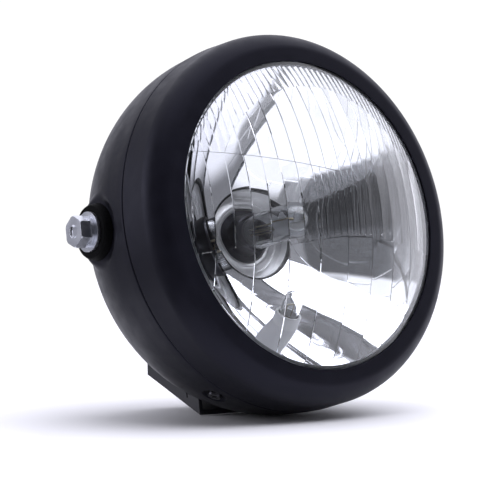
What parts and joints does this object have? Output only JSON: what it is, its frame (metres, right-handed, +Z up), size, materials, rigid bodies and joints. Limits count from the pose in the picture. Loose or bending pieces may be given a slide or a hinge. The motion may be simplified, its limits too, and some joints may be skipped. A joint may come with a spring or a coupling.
{
  "type": "motorcycle headlight",
  "caption": "Round side-mounted headlight with a matt black steel bucket and rim, fluted glass lens, bright reflector, headlamp bulb and parking bulb.",
  "frame": {"origin": "middle of the side bolt axis, where it crosses the optical axis", "axes": "-Y is the way the lamp shines, +Z is up, +X is along the side bolt axis"},
  "size_m": [0.1992, 0.1294, 0.1794],
  "materials": {
    "bucket_paint": "matt black powder coat",
    "ring_paint": "matt black powder coat",
    "lens_glass": "clear pressed glass",
    "mirror_coat": "vacuum coated mirror",
    "bulb_glass": "clear glass",
    "bulb_metal": "plated sheet",
    "tungsten": "drawn wire",
    "blade_metal": "plated brass",
    "spring_wire": "spring steel",
    "black_rubber": "matt",
    "zinc": "bright zinc plate",
    "black_steel": "satin black",
    "dark_screw": "black oxide"
  },
  "bodies": {
    "root": {"bucket": "bucket_paint", "rim_ring": "ring_paint", "lens": "lens_glass", "lens_seal": "black_rubber", "reflector": "mirror_coat", "lens_clips": "spring_wire", "headlamp_bulb_glass": "bulb_glass", "headlamp_bulb_filaments": "tungsten", "headlamp_bulb_shield": "bulb_metal", "headlamp_bulb_base": "bulb_metal", "headlamp_bulb_blades": "blade_metal", "bulb_spring_clip": "spring_wire", "bulb_dust_boot": "black_rubber", "parking_bulb_glass": "bulb_glass", "parking_bulb_filament": "tungsten", "parking_bulb_base": "blade_metal", "parking_lamp_holder": "black_rubber", "bottom_bracket": "black_steel", "cable_grommet": "black_rubber", "left_spacer": "black_rubber", "left_washer": "zinc", "left_spring_washer": "zinc", "left_bolt": "zinc", "left_weld_nut": "spring_wire", "left_rim_screw": "dark_screw", "left_rim_tab": "spring_wire", "right_spacer": "black_rubber", "right_washer": "zinc", "right_spring_washer": "zinc", "right_bolt": "zinc", "right_weld_nut": "spring_wire", "right_rim_screw": "dark_screw", "right_rim_tab": "spring_wire"}
  },
  "joints": []
}
